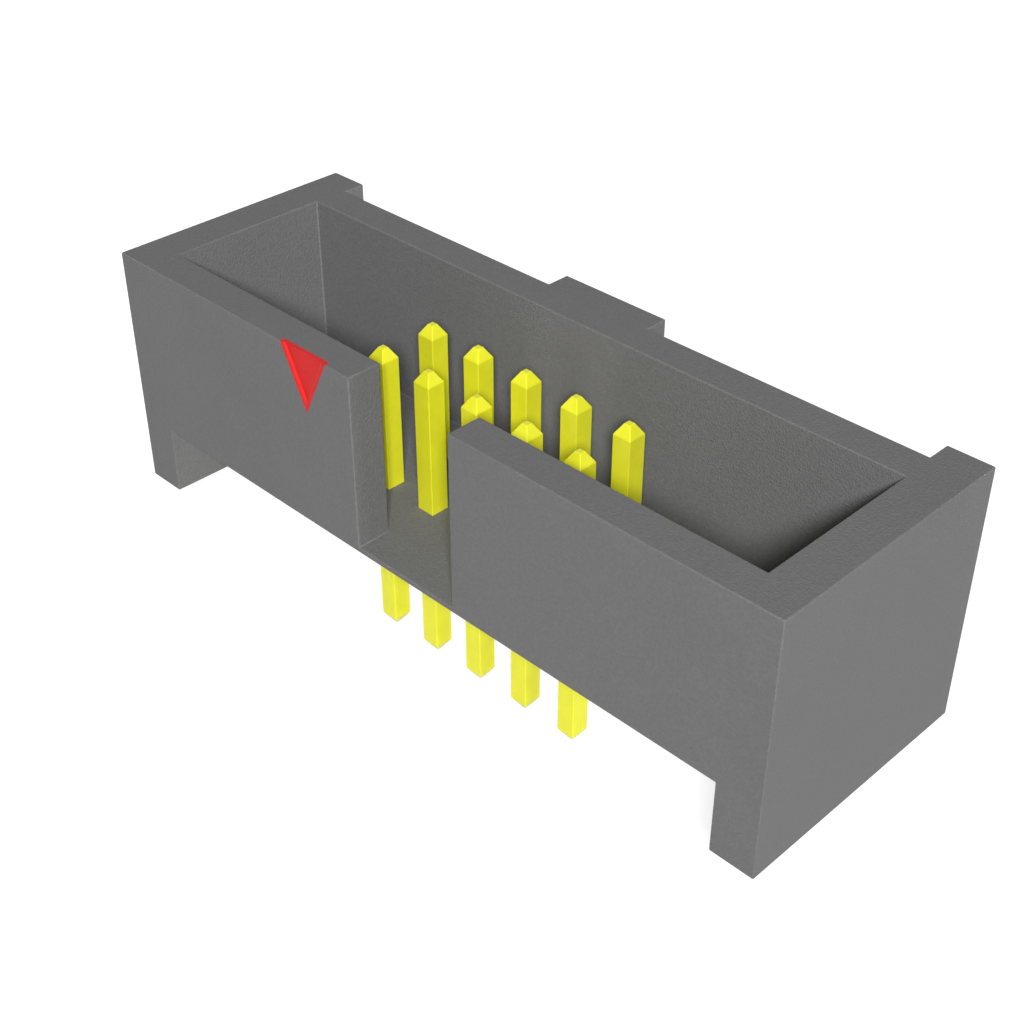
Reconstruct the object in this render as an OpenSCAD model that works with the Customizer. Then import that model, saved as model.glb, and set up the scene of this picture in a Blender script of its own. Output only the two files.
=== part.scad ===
// Shrouded header for a flat cable socket: ten square pins pressed through a keyed, moulded box.
// Millimetres. The origin is on the board, in the middle of the pin pattern.
// X runs along the rows, Y towards the ribbed back, Z up out of the board.

/* [Pins] */
// Number of pins in each of the two rows
pins_per_row = 5; // [5:1:11]
// Distance between neighbouring pins, along the rows and between them
pitch = 2.54; // [2.3:0.02:2.8]
// Width of the square pin wire
pin_width = 0.82; // [0.6:0.02:1]
// Height of the pin tips above the board
pin_top = 9.38; // [7:0.02:10.6]
// Depth of the solder tails below the board's top face
pin_tail = 3.84; // [2.4:0.02:6]
// Length of the four-sided point at each end of a pin
point_length = 0.45; // [0.2:0.01:0.8]
// Width of the small flat that ends each point
point_flat = 0.27; // [0.1:0.01:0.5]

/* [Box] */
// Length of the box along the pin rows
box_length = 33; // [24:0.5:50]
// Width of the box across the pin rows, without the ribs on its back
box_width = 10.14; // [9.4:0.02:14]
// Height of the box above the board, feet included
box_height = 10.65; // [9:0.05:14]
// Thickness of the front and back walls
side_wall = 1.51; // [1:0.01:2]
// Thickness of the two end walls
end_wall = 1.76; // [1:0.01:2.5]
// Width of the keying slot in the front wall
slot_width = 5.08; // [3:0.02:7]

/* [Feet and ribs] */
// Height of the feet, which lift the walls off the board
foot_height = 3.05; // [2.4:0.05:4]
// Thickness of the feet and of the end ribs above them, along the rows
foot_thickness = 1.84; // [1.2:0.02:3]
// How far the ribs and feet stand out of the back wall
rib_depth = 1.02; // [0.4:0.02:2]
// Width of the rib in the middle of the back wall
rib_width = 5.06; // [2:0.02:10]

/* [Base] */
// Height of the cavity's floor above the bottom edge of the walls
floor_rise = 0.22; // [0.1:0.02:1]
// How far the base plate stands back from the faces of the long walls
plate_setback = 1.02; // [0.5:0.02:1.4]
// Thickness of the base plate below the walls' bottom edge
plate_drop = 1.02; // [0.4:0.02:1.4]
// Gap under the pin block that lets solder flux be washed out
block_standoff = 0.51; // [0.2:0.01:0.9]

/* [Pin 1 mark] */
// Width of the triangular inlay at the top edge of the front wall
mark_width = 2.54; // [1.2:0.02:2.6]
// Height of the triangle, down to its point
mark_height = 2.54; // [1:0.02:4]
// Thickness of the inlay, set into the wall
mark_thickness = 0.25; // [0.16:0.01:0.6]
// Width of the flat rim along the two slanted sides
mark_rim = 0.14; // [0.05:0.01:0.25]
// Depth of the dished middle below the rim
dish_depth = 0.09; // [0.03:0.01:0.12]

/* [Fit] */
// Gap on each side between a pressed-in piece and the hole that holds it
fit_gap = 0.01; // [0:0.005:0.03]

/* [Hidden] */
housing_colour = [0.45, 0.45, 0.45];
pin_colour = [0.84, 0.84, 0.18];
mark_colour = [0.83, 0.2, 0.2];

// How far a cut runs past the face that it opens
over = 0.5;

pin_count = 2 * pins_per_row;
pattern_length = pins_per_row * pitch;
pattern_width = 2 * pitch;

front_y = -box_width / 2;
rib_back_y = box_width / 2 + rib_depth;
cavity_length = box_length - 2 * end_wall;
cavity_width = box_width - 2 * side_wall;
gap_length = box_length - 2 * foot_thickness;

floor_z = foot_height + floor_rise;
plate_z = foot_height - plate_drop;

// Lean of the triangle's slanted sides from the vertical
mark_lean = atan(mark_width / 2 / mark_height);

// Odd pins stand in the front row and even ones behind them, counted from the left
function pin_x(n) = (floor((n - 1) / 2) - (pins_per_row - 1) / 2) * pitch;
function pin_y(n) = (n % 2 == 1 ? -1 : 1) * pitch / 2;

// Plan of a rib on the back wall, drawn from the middle of the box
module rib_plan(x, width) {
    translate([x - width / 2, 0])
        square([width, rib_back_y]);
}

// Plan of the whole moulding: the box, its middle rib and the rib at each end
module housing_plan() {
    end_rib_x = (box_length - foot_thickness) / 2;
    square([box_length, box_width], center = true);
    rib_plan(0, rib_width);
    rib_plan(-end_rib_x, foot_thickness);
    rib_plan(end_rib_x, foot_thickness);
}

// Plan of the space that takes the cable socket, with the slot for its key
module socket_plan() {
    square([cavity_length, cavity_width], center = true);
    translate([-slot_width / 2, front_y - over])
        square([slot_width, -front_y + over]);
}

module socket_space() {
    translate([0, 0, floor_z])
        linear_extrude(box_height - floor_z + over)
            socket_plan();
}

// Bar across the underside, centred on the pins, from the given height up into the floor
module under_bar(length, width, bottom_z) {
    translate([-length / 2, -width / 2, bottom_z])
        cube([length, width, floor_z - bottom_z]);
}

// Space between the feet, stepped down to the base plate and the pin block
module under_space() {
    difference() {
        translate([-gap_length / 2, front_y - over, -over])
            cube([gap_length, rib_back_y - front_y + 2 * over, foot_height + over]);
        under_bar(gap_length + 2 * over, box_width - 2 * plate_setback, plate_z);
        under_bar(pattern_length, pattern_width, block_standoff);
    }
}

module pin_hole(n) {
    hole_width = pin_width + 2 * fit_gap;
    translate([pin_x(n), pin_y(n), floor_z / 2])
        cube([hole_width, hole_width, floor_z + 2 * over], center = true);
}

// Places a piece of the mark: its own origin is the middle of the triangle's top edge,
// on the front face over pin 1, and its Y runs into the wall
module at_mark() {
    translate([pin_x(1), front_y, box_height])
        children();
}

// Triangle pointing down, its slanted sides moved out by a gap
module mark_triangle(gap = 0) {
    half_top = mark_width / 2 + gap / cos(mark_lean);
    tip = mark_height + gap / sin(mark_lean);
    polygon([[-half_top, 0], [half_top, 0], [0, -tip]]);
}

// Pocket for the inlay, open at the front and the top
module mark_pocket() {
    at_mark() {
        translate([0, mark_thickness, 0])
            rotate([90, 0, 0])
                linear_extrude(mark_thickness + over)
                    mark_triangle(fit_gap);
        translate([-mark_width / 2 - fit_gap, -over, 0])
            cube([mark_width + 2 * fit_gap, mark_thickness + over, over]);
    }
}

// Cut with one bevelled edge, which runs up from the triangle's tip along its left side
module dish_side() {
    translate([0, 0, -mark_height])
        rotate([0, -mark_lean, 0])
            linear_extrude(mark_height + mark_width)
                polygon([
                    [mark_rim - over, -over],
                    [mark_width, -over],
                    [mark_width, dish_depth],
                    [mark_rim + dish_depth, dish_depth]
                ]);
}

module housing() {
    color(housing_colour)
        difference() {
            linear_extrude(box_height)
                housing_plan();
            socket_space();
            under_space();
            mark_pocket();
            for (n = [1:pin_count])
                pin_hole(n);
        }
}

// Triangular inlay whose dish lies where the bevelled cuts of its two sides cross
module pin_1_marker() {
    color(mark_colour)
        at_mark()
            difference() {
                translate([0, mark_thickness, 0])
                    rotate([90, 0, 0])
                        linear_extrude(mark_thickness)
                            mark_triangle();
                intersection() {
                    dish_side();
                    mirror([1, 0, 0])
                        dish_side();
                }
            }
}

// Side view of a pin, pointed at both ends, as thick as the wire
module pin_blank() {
    half = pin_width / 2;
    flat = point_flat / 2;
    rotate([90, 0, 0])
        linear_extrude(pin_width, center = true)
            polygon([
                [-flat, pin_top],
                [flat, pin_top],
                [half, pin_top - point_length],
                [half, point_length - pin_tail],
                [flat, -pin_tail],
                [-flat, -pin_tail],
                [-half, point_length - pin_tail],
                [-half, pin_top - point_length]
            ]);
}

// Two blanks crossed at right angles leave the square wire with its four-sided points
module pin(n) {
    color(pin_colour)
        translate([pin_x(n), pin_y(n), 0])
            intersection() {
                pin_blank();
                rotate([0, 0, 90])
                    pin_blank();
            }
}

housing();
pin_1_marker();
for (n = [1:pin_count])
    pin(n);
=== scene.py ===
import math
import bmesh
import bpy
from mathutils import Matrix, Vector


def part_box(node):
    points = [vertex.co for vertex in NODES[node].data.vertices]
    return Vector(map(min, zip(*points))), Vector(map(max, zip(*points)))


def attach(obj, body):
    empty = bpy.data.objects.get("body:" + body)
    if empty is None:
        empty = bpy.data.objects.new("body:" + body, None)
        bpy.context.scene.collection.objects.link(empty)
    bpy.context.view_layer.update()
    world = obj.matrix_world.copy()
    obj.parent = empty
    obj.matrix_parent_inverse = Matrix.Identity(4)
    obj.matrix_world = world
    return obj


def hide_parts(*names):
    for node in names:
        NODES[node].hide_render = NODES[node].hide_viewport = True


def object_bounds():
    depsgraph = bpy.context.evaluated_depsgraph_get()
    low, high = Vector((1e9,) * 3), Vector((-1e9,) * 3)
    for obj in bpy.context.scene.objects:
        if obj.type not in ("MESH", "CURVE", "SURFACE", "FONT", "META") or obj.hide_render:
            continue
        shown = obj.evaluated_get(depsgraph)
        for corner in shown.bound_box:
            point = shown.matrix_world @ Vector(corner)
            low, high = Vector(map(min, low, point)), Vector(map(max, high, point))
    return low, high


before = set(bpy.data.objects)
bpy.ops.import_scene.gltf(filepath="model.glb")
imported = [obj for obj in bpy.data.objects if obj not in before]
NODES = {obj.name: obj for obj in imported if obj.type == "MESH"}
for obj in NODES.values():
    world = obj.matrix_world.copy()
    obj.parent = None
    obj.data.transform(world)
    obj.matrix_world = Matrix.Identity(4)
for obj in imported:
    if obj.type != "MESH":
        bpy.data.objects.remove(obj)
cad_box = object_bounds()

MM = 0.001
MARK = "pin_1_marker"
PINS = sorted(name for name in NODES if name.startswith("pin_") and name != MARK)

# Camera: the picture's own viewpoint, solved from the part's straight edges
CAMERA_AT = Vector((36.21, -35.68, 39.60)) * MM
CAMERA_LOOKS = Vector((-1, 1, -1))
LENS_MM = 57.03
SENSOR_MM = 36
CLIP_NEAR = 1 * MM
CLIP_FAR = 20

# Edge radii, and how far round a pin hole or the mark its own edges lie
EDGE_RADIUS = 0.06 * MM
HOLE_RADIUS = 0.03 * MM
PIN_RADIUS = 0.03 * MM
MARK_RADIUS = 0.012 * MM
HOLE_REACH = 0.5 * MM
MARK_REACH = 0.03 * MM
EDGE_STEPS = 4
WELD = 0.0001 * MM
SHARP = math.radians(20)
FLAT = math.radians(1)

# Colours, linear
GREY = (0.141, 0.141, 0.142)
GOLD = (0.77, 0.76, 0.026)
RED = (0.59, 0.009, 0.009)
WHITE = (1, 1, 1, 1)
FLOOR = (0.3, 0.3, 0.3, 1)

# Materials. A cell is the size of a texture's features along X, Y and Z. A tone or a roughness is the
# range that a texture is spread over, and a shine is the specular level.
NOISE_RANGE = (0.25, 0.75)
NOISE_DETAIL = 2

GRAIN_CELL = [0.08 * MM] * 3
GRAIN_DEPTH = 0.017 * MM
SPECK_CELL = [0.1 * MM] * 3
SPECK_TONE = (0.9, 1.1)
CLOUD_CELL = [3 * MM] * 3
CLOUD_DETAIL = 3
CLOUD_TONE = (0.975, 1.025)
PLASTIC_ROUGHNESS = (0.58, 0.72)
PLASTIC_SHINE = 0.2

LINE_CELL = [0.03 * MM, 0.03 * MM, 2.5 * MM]
LINE_DEPTH = 0.0004 * MM
PIN_CLOUD_CELL = [0.8 * MM] * 3
PIN_TONE = (0.96, 1.04)
PIN_ROUGHNESS = (0.2, 0.28)
PIN_METALLIC = 0.15
PIN_SHINE = 0.25

MARK_GRAIN_CELL = [0.09 * MM] * 3
MARK_GRAIN_DEPTH = 0.002 * MM
MARK_CLOUD_CELL = [0.6 * MM] * 3
MARK_TONE = (0.95, 1.05)
MARK_ROUGHNESS = (0.4, 0.5)
MARK_SHINE = 0.2

# Light: each lamp's place, width and height in metres, and its power in watts.
# The key lamp stands behind the camera. Low strips light each side and leave the top faces darker,
# and a weak lamp overhead reaches the bottom of the cavity.
STRIP = (0.1, 0.012)
LAMPS = {
    "key": ((0.0555, -0.0546, 0.0563), (0.013, 0.013), 13.6),
    "front": ((0.0, -0.4, 0.003), STRIP, 0.6),
    "right": ((0.4, 0.0, 0.003), STRIP, 2.5),
    "back": ((0.0, 0.4, 0.003), STRIP, 6.3),
    "left": ((-0.4, 0.0, 0.003), STRIP, 5.5),
    "top": ((0.0, 0.0, 0.4), (0.05, 0.05), 0.4),
}
FULL_POWER = 1
SKY_LIGHT = 0.12
SKY_SEEN = 1.0

# The floor, and its own glow from beside the object out to where it is plain white
FLOOR_HALF = 3.0
GLOW_NEAR = 0.8
GLOW_FAR = 1
GLOW_FROM = 0.015
GLOW_TO = 0.05


class Nodes:
    """A node tree, with short calls to add and join nodes."""

    def __init__(self, owner):
        self.owner = owner
        owner.use_nodes = True
        self.tree = owner.node_tree
        self.tree.nodes.clear()

    def add(self, kind, **settings):
        node = self.tree.nodes.new("ShaderNode" + kind)
        for key, value in settings.items():
            setattr(node, key, value)
        return node

    def join(self, source, target):
        self.tree.links.new(source, target)

    def texture(self, kind, cell):
        """A texture in the row frame, with cells of the given size in metres."""
        coords = self.add("TexCoord")
        mapping = self.add("Mapping")
        mapping.inputs["Scale"].default_value = [1 / size for size in cell]
        texture = self.add(kind)
        texture.inputs["Scale"].default_value = 1
        self.join(coords.outputs["Object"], mapping.inputs["Vector"])
        self.join(mapping.outputs["Vector"], texture.inputs["Vector"])
        return texture

    def noise(self, cell, detail=NOISE_DETAIL):
        node = self.texture("TexNoise", cell)
        node.inputs["Detail"].default_value = detail
        return node.outputs["Fac"]

    def pits(self, cell):
        """Small shallow craters, such as spark erosion leaves in a mould."""
        return self.texture("TexVoronoi", cell).outputs["Distance"]

    def ramp(self, value, source, target):
        """Maps one range onto another, and goes past neither of its ends."""
        node = self.add("MapRange")
        sockets = ("From Min", "From Max", "To Min", "To Max")
        for socket, number in zip(sockets, source + target):
            node.inputs[socket].default_value = number
        self.join(value, node.inputs["Value"])
        return node.outputs["Result"]

    def spread(self, noise, target):
        """Stretches the middle half of a noise over the target."""
        return self.ramp(noise, NOISE_RANGE, target)

    def math(self, operation, first, second):
        node = self.add("Math", operation=operation)
        self.join(first, node.inputs[0])
        self.join(second, node.inputs[1])
        return node.outputs["Value"]

    def shade(self, colour, amount):
        """The colour, made lighter or darker by the amount."""
        node = self.add("VectorMath", operation="SCALE")
        node.inputs[0].default_value = colour
        self.join(amount, node.inputs["Scale"])
        return node.outputs["Vector"]

    def bump(self, height, depth):
        node = self.add("Bump")
        node.inputs["Distance"].default_value = depth
        self.join(height, node.inputs["Height"])
        return node.outputs["Normal"]

    def seen(self):
        """One for rays that show the background: from the camera, by reflection or through glass."""
        rays = self.add("LightPath").outputs
        direct = self.math("MAXIMUM", rays["Is Camera Ray"], rays["Is Glossy Ray"])
        return self.math("MAXIMUM", direct, rays["Is Transmission Ray"])

    def white_light(self, kind, strength=1):
        node = self.add(kind)
        node.inputs["Color"].default_value = WHITE
        node.inputs["Strength"].default_value = strength
        return node

    def mix(self, amount, first, second):
        node = self.add("MixShader")
        self.join(amount, node.inputs["Fac"])
        self.join(first.outputs[0], node.inputs[1])
        self.join(second.outputs[0], node.inputs[2])
        return node

    def surface(self, **inputs):
        shader = self.add("BsdfPrincipled")
        for name, value in inputs.items():
            socket = shader.inputs[name.replace("_", " ")]
            if isinstance(value, bpy.types.NodeSocket):
                self.join(value, socket)
            else:
                socket.default_value = value
        return self.output(shader)

    def output(self, shader, kind="OutputMaterial"):
        out = self.add(kind)
        self.join(shader.outputs[0], out.inputs["Surface"])
        return self.owner


def material(name):
    return Nodes(bpy.data.materials.new(name))


def moulded_plastic():
    """Grey thermoplastic from a spark-eroded mould: a fine, even grain and a faint cloudiness."""
    n = material("housing_plastic")
    speck = n.noise(SPECK_CELL)
    cloud = n.noise(CLOUD_CELL, CLOUD_DETAIL)
    tone = n.math("MULTIPLY", n.spread(speck, SPECK_TONE), n.spread(cloud, CLOUD_TONE))
    return n.surface(
        Base_Color=n.shade(GREY, tone),
        Roughness=n.spread(speck, PLASTIC_ROUGHNESS),
        Specular_IOR_Level=PLASTIC_SHINE,
        Normal=n.bump(n.pits(GRAIN_CELL), GRAIN_DEPTH),
    )


def gold_plating():
    """Gold flash over drawn square wire: fine lines along the wire and a soft shine."""
    n = material("pin_plating")
    lines = n.noise(LINE_CELL)
    return n.surface(
        Base_Color=n.shade(GOLD, n.spread(n.noise(PIN_CLOUD_CELL), PIN_TONE)),
        Metallic=PIN_METALLIC,
        Roughness=n.spread(lines, PIN_ROUGHNESS),
        Specular_IOR_Level=PIN_SHINE,
        Normal=n.bump(lines, LINE_DEPTH),
    )


def red_inlay():
    """Red plastic of the mark, smoother than the housing."""
    n = material("marker_red")
    grain = n.noise(MARK_GRAIN_CELL)
    return n.surface(
        Base_Color=n.shade(RED, n.spread(n.noise(MARK_CLOUD_CELL), MARK_TONE)),
        Roughness=n.spread(grain, MARK_ROUGHNESS),
        Specular_IOR_Level=MARK_SHINE,
        Normal=n.bump(grain, MARK_GRAIN_DEPTH),
    )


def floor_white():
    """White floor that takes shadows, and glows so that it shows as white as the background."""
    n = material("floor_white")
    plain = n.add("BsdfDiffuse")
    plain.inputs["Color"].default_value = FLOOR
    glow = n.white_light("Emission")
    distance = n.add("VectorMath", operation="LENGTH")
    n.join(n.add("TexCoord").outputs["Object"], distance.inputs[0])
    strength = n.ramp(distance.outputs["Value"], (GLOW_FROM, GLOW_TO), (GLOW_NEAR, GLOW_FAR))
    n.join(strength, glow.inputs["Strength"])
    bright = n.add("AddShader")
    n.join(plain.outputs[0], bright.inputs[0])
    n.join(glow.outputs[0], bright.inputs[1])
    return n.output(n.mix(n.seen(), plain, bright))


def round_edges(obj, radius, limit="ANGLE"):
    bevel = obj.modifiers.new("edge_radius", "BEVEL")
    bevel.width = radius
    bevel.segments = EDGE_STEPS
    bevel.limit_method = limit
    bevel.angle_limit = SHARP
    bevel.loop_slide = False
    bevel.face_strength_mode = "FSTR_ALL"
    shading = obj.modifiers.new("flat_shading", "WEIGHTED_NORMAL")
    shading.use_face_influence = True
    shading.keep_sharp = True


def finish_node(name, look, radius):
    """Gives a CAD node its material and rounds its real edges, not those between flat triangles."""
    obj = NODES[name]
    obj.data.materials.clear()
    obj.data.materials.append(look)
    joined = obj.modifiers.new("joined_faces", "WELD")
    joined.merge_threshold = WELD
    planar = obj.modifiers.new("flat_faces", "DECIMATE")
    planar.decimate_type = "DISSOLVE"
    planar.angle_limit = FLAT
    round_edges(obj, radius)


def inside(vertex, low, high, reach):
    return all(low[i] - reach <= vertex.co[i] <= high[i] + reach for i in range(len(low)))


def edge_radius(edge, pin_places, mark_box):
    """The radius of one edge of the moulding: small round a pin hole, none where the mark fills it."""
    for place in pin_places:
        if all(inside(v, place, place, HOLE_REACH) for v in edge.verts):
            return HOLE_RADIUS
    if all(inside(v, *mark_box, MARK_REACH) for v in edge.verts):
        return 0
    return EDGE_RADIUS


def plan_middle(box):
    low, high = box
    return [(low[i] + high[i]) / 2 for i in (0, 1)]


def add_object(name, data):
    obj = bpy.data.objects.new(name, data)
    bpy.context.scene.collection.objects.link(obj)
    return obj


def build_housing(look):
    """The moulding, with a radius on every edge but those of the mark's pocket."""
    shape = bmesh.new()
    shape.from_mesh(NODES["housing"].data)
    bmesh.ops.remove_doubles(shape, verts=shape.verts, dist=WELD)
    bmesh.ops.dissolve_limit(shape, angle_limit=FLAT, verts=shape.verts, edges=shape.edges)
    weights = shape.edges.layers.float.new("bevel_weight_edge")
    pin_places = [plan_middle(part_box(name)) for name in PINS]
    mark_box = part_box(MARK)
    for edge in shape.edges:
        if edge.calc_face_angle(0) > SHARP:
            edge[weights] = edge_radius(edge, pin_places, mark_box) / EDGE_RADIUS
            edge.smooth = edge[weights] > 0
    for face in shape.faces:
        face.smooth = True
    mesh = bpy.data.meshes.new("housing_moulding")
    shape.to_mesh(mesh)
    shape.free()
    mesh.materials.append(look)
    housing = add_object("housing_moulding", mesh)
    round_edges(housing, EDGE_RADIUS, "WEIGHT")
    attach(housing, "root")
    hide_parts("housing")


def add_floor():
    """A floor at the tips of the tails, the lowest point of the part."""
    z = cad_box[0][2]
    corners = [(-1, -1), (1, -1), (1, 1), (-1, 1)]
    mesh = bpy.data.meshes.new("floor")
    mesh.from_pydata([(x * FLOOR_HALF, y * FLOOR_HALF, z) for x, y in corners], [], [(0, 1, 2, 3)])
    mesh.materials.append(floor_white())
    add_object("floor", mesh)


def add_sky():
    """Soft light from all round, seen as white by the camera and in reflections."""
    n = Nodes(bpy.data.worlds.new("studio"))
    light = n.white_light("Background", SKY_LIGHT)
    seen_sky = n.white_light("Background", SKY_SEEN)
    bpy.context.scene.world = n.output(n.mix(n.seen(), light, seen_sky), "OutputWorld")


def add_lamp(name, place, size, power):
    """Area lamp, turned to the origin, that lights near and far parts of the object alike."""
    data = bpy.data.lights.new(name, "AREA")
    data.shape = "RECTANGLE"
    data.size, data.size_y = size
    data.energy = power
    n = Nodes(data)
    falloff = n.add("LightFalloff")
    falloff.inputs["Strength"].default_value = FULL_POWER
    light = n.white_light("Emission")
    n.join(falloff.outputs["Constant"], light.inputs["Strength"])
    n.output(light, "OutputLight")
    lamp = add_object(name, data)
    lamp.location = place
    lamp.rotation_euler = (-Vector(place)).to_track_quat("-Z", "Y").to_euler()
    lamp.visible_camera = False


def add_camera():
    data = bpy.data.cameras.new("camera")
    data.lens = LENS_MM
    data.sensor_width = SENSOR_MM
    data.clip_start = CLIP_NEAR
    data.clip_end = CLIP_FAR
    camera = add_object("camera", data)
    camera.location = CAMERA_AT
    camera.rotation_euler = CAMERA_LOOKS.to_track_quat("-Z", "Y").to_euler()
    bpy.context.scene.camera = camera


build_housing(moulded_plastic())
finish_node(MARK, red_inlay(), MARK_RADIUS)
plating = gold_plating()
for pin in PINS:
    finish_node(pin, plating, PIN_RADIUS)
add_floor()
add_sky()
for name, (place, size, power) in LAMPS.items():
    add_lamp(name, place, size, power)
add_camera()
bpy.context.scene.view_settings.view_transform = "Standard"
